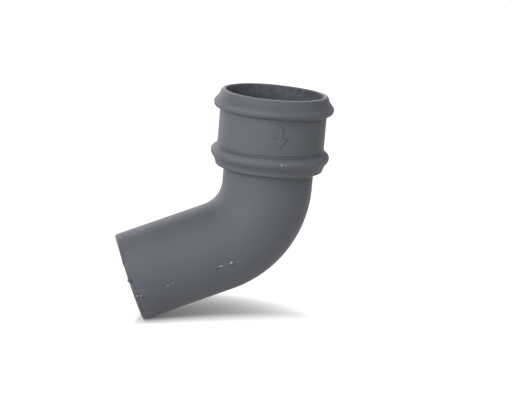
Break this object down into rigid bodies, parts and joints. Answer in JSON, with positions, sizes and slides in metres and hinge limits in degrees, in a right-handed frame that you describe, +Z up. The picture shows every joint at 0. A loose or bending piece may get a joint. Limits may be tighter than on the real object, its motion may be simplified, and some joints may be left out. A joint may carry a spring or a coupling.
{
  "type": "downpipe bend",
  "caption": "Round cast iron rainwater pipe bend, 112.5 degrees, with a beaded socket above and a plain spigot below.",
  "frame": {"origin": "centre of the socket's mouth, on the plane of its rim", "axes": "+Z up out of the socket along its axis, as the upper pipe leaves it; -X the side to which the spigot turns; Y across the plane of the bend, with the flow arrow facing -Y"},
  "size_m": [0.1933, 0.1102, 0.2195],
  "materials": {
    "primed_iron": "matt dark grey primer over sand-cast iron, with a few pale chips"
  },
  "bodies": {
    "root": {"bend_casting": "primed_iron"}
  },
  "joints": []
}
